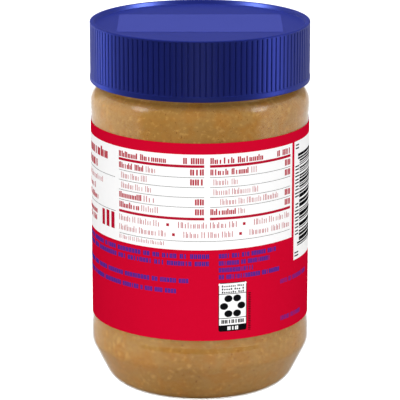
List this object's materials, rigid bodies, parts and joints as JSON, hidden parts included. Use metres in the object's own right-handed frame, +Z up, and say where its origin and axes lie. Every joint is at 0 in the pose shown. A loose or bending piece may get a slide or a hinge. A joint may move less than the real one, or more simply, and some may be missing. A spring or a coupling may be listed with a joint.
{
  "type": "peanut butter jar",
  "caption": "Clear blown jar of peanut butter with a wrap-round film label and a ribbed screw cap, standing upright on its foot ring.",
  "frame": {"origin": "middle of the ring the jar stands on, at table level", "axes": "+Z up along the jar's axis, towards the cap; -Y is the side shown in the picture"},
  "size_m": [0.0753, 0.0754, 0.1269],
  "materials": {
    "clear_pet": "blown clear PET, gloss",
    "peanut_butter": "smooth ground nut paste, slightly oily",
    "label_film": "printed polypropylene film",
    "cap_pp": "injection-moulded polypropylene, satin"
  },
  "bodies": {
    "root": {"jar": "clear_pet", "peanut_butter": "peanut_butter", "label": "label_film", "cap": "cap_pp"}
  },
  "joints": []
}
